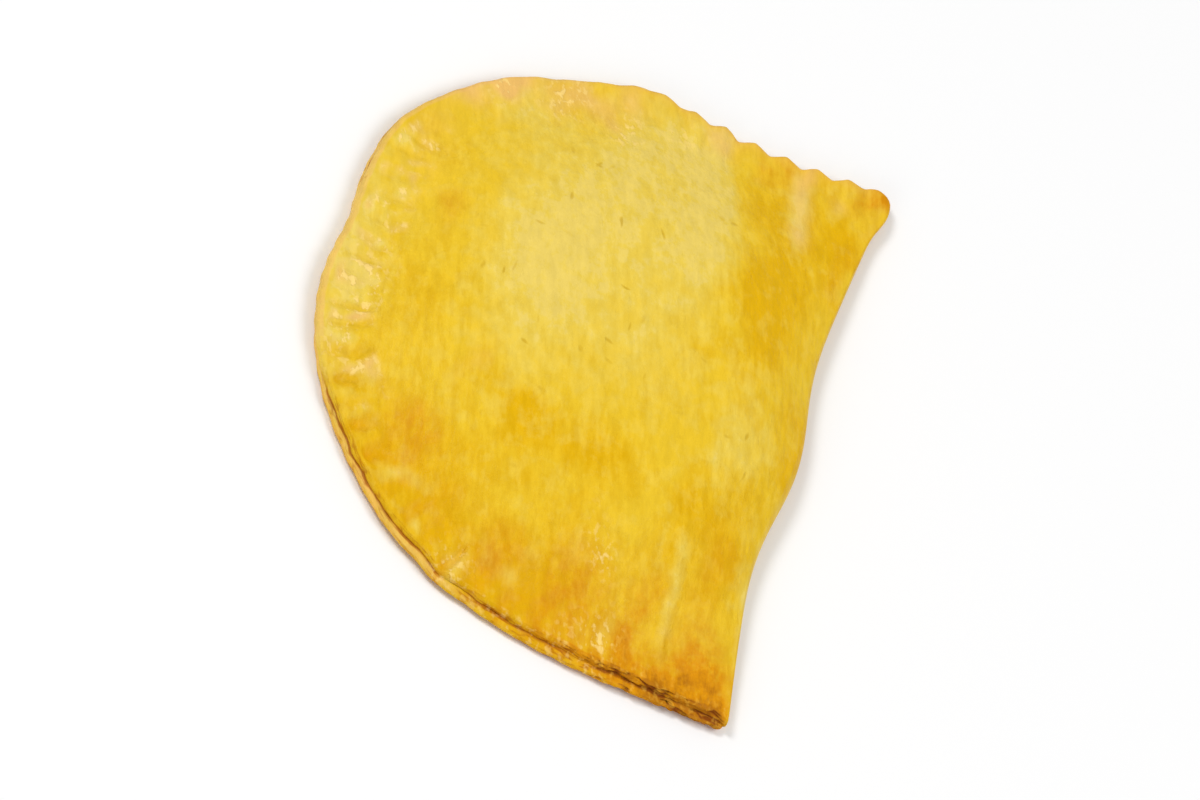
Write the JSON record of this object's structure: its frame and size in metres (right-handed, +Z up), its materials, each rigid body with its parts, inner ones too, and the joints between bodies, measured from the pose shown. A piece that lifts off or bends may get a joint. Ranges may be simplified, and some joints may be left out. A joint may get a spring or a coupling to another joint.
{
  "type": "jamaican patty",
  "caption": "Folded half-moon pastry turnover, golden yellow, with a smooth folded edge, a curved edge crimped all along and a low filled dome. It is whole and uncut.",
  "frame": {"origin": "on the surface the patty rests on, under the middle of its bounding box", "axes": "+X along the folded edge, +Y from the crimped curve towards the folded edge, +Z up out of the top of the dome"},
  "size_m": [0.1462, 0.1174, 0.016],
  "materials": {
    "baked_pastry": "soft sheen of baked turmeric-yellow pastry"
  },
  "bodies": {
    "root": {"patty": "baked_pastry"}
  },
  "joints": []
}
